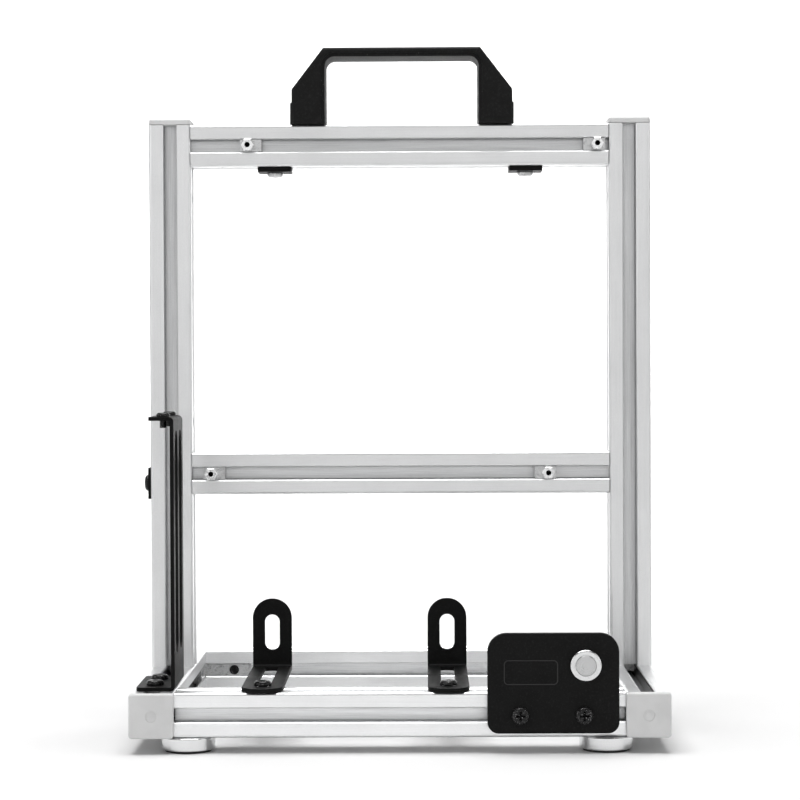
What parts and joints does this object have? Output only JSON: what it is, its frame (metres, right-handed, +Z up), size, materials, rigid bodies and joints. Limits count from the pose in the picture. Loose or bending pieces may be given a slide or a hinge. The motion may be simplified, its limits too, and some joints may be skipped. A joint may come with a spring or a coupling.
{
  "type": "desktop laser cutter frame",
  "caption": "Open T-slot aluminium frame of a desktop laser cutter with carry handle, slotted sheet brackets, round feet and a push-button switch panel.",
  "frame": {"origin": "under the middle of the whole object's box, on the surface it stands on", "axes": "+X to the right and +Y to the back as seen from the side with the switch panel, +Z up"},
  "size_m": [0.2436, 0.1886, 0.324],
  "materials": {
    "anodised_aluminium": "satin clear-anodised extrusion",
    "polished_aluminium": "turned and polished",
    "grey_plastic": "moulded light grey",
    "rubber": "matt black",
    "black_plastic": "glass-filled nylon, fine texture",
    "panel_plastic": "black, spark-eroded texture",
    "black_steel": "satin black powder coat on sheet steel",
    "stainless_steel": "turned stainless",
    "switch_plastic": "black moulding",
    "plated_brass": "tin plated",
    "black_oxide_steel": "black oxide",
    "zinc_steel": "bright zinc"
  },
  "bodies": {
    "frame": {"base_connectors": "zinc_steel", "base_set_screws": "black_oxide_steel", "bracket_nuts": "zinc_steel", "bracket_screws": "black_oxide_steel", "button_contact_block": "switch_plastic", "button_housing": "stainless_steel", "button_nut": "stainless_steel", "button_seal": "rubber", "button_spring": "zinc_steel", "button_terminals": "plated_brass", "carry_handle": "black_plastic", "clamp_plate_nuts": "zinc_steel", "clamp_plate_screws": "zinc_steel", "foot_nuts": "zinc_steel", "foot_pads": "rubber", "foot_screws": "zinc_steel", "front_left_foot": "polished_aluminium", "front_rail": "anodised_aluminium", "front_right_foot": "polished_aluminium", "handle_nuts": "zinc_steel", "handle_screws": "black_oxide_steel", "hex_standoffs": "zinc_steel", "left_clamp_plate": "black_steel", "left_front_cap": "grey_plastic", "left_post": "anodised_aluminium", "left_post_cap": "grey_plastic", "left_rear_cap": "grey_plastic", "left_side_rail": "anodised_aluminium", "middle_rail": "anodised_aluminium", "middle_rail_connectors": "zinc_steel", "middle_rail_set_screws": "black_oxide_steel", "panel_nuts": "zinc_steel", "panel_screws": "black_oxide_steel", "post_foot_connectors": "zinc_steel", "post_foot_set_screws": "black_oxide_steel", "rear_left_foot": "polished_aluminium", "rear_rail": "anodised_aluminium", "rear_right_foot": "polished_aluminium", "right_clamp_plate": "black_steel", "right_front_cap": "grey_plastic", "right_post": "anodised_aluminium", "right_post_cap": "grey_plastic", "right_rear_cap": "grey_plastic", "right_side_rail": "anodised_aluminium", "side_plate": "black_steel", "side_plate_nut": "zinc_steel", "side_plate_screw": "black_oxide_steel", "standoff_nuts": "zinc_steel", "switch_panel": "panel_plastic", "top_rail": "anodised_aluminium", "top_rail_connectors": "zinc_steel", "top_rail_set_screws": "black_oxide_steel"},
    "left_bracket": {"left_bracket": "black_steel"},
    "right_bracket": {"right_bracket": "black_steel"},
    "tall_bracket": {"tall_bracket": "black_steel", "tall_bracket_screws": "black_oxide_steel", "tall_bracket_nuts": "zinc_steel", "tab_screws": "black_oxide_steel"},
    "power_button": {"button_cap": "stainless_steel"}
  },
  "joints": [
    {"name": "power_button_press", "type": "slide", "parent": "frame", "child": "power_button", "axis": [0, 1, 0], "range_m": [0, 0.0015], "stiffness_N_per_m": 600, "springref_m": -0.002, "deforming": ["button_spring"]},
    {"name": "left_bracket_slide", "type": "slide", "parent": "frame", "child": "left_bracket", "axis": [0, -1, 0], "range_m": [-0.002, 0.06]},
    {"name": "right_bracket_slide", "type": "slide", "parent": "frame", "child": "right_bracket", "axis": [0, -1, 0], "range_m": [-0.002, 0.06]},
    {"name": "tall_bracket_slide", "type": "slide", "parent": "frame", "child": "tall_bracket", "axis": [0, 1, 0], "range_m": [-0.004, 0.04]}
  ]
}
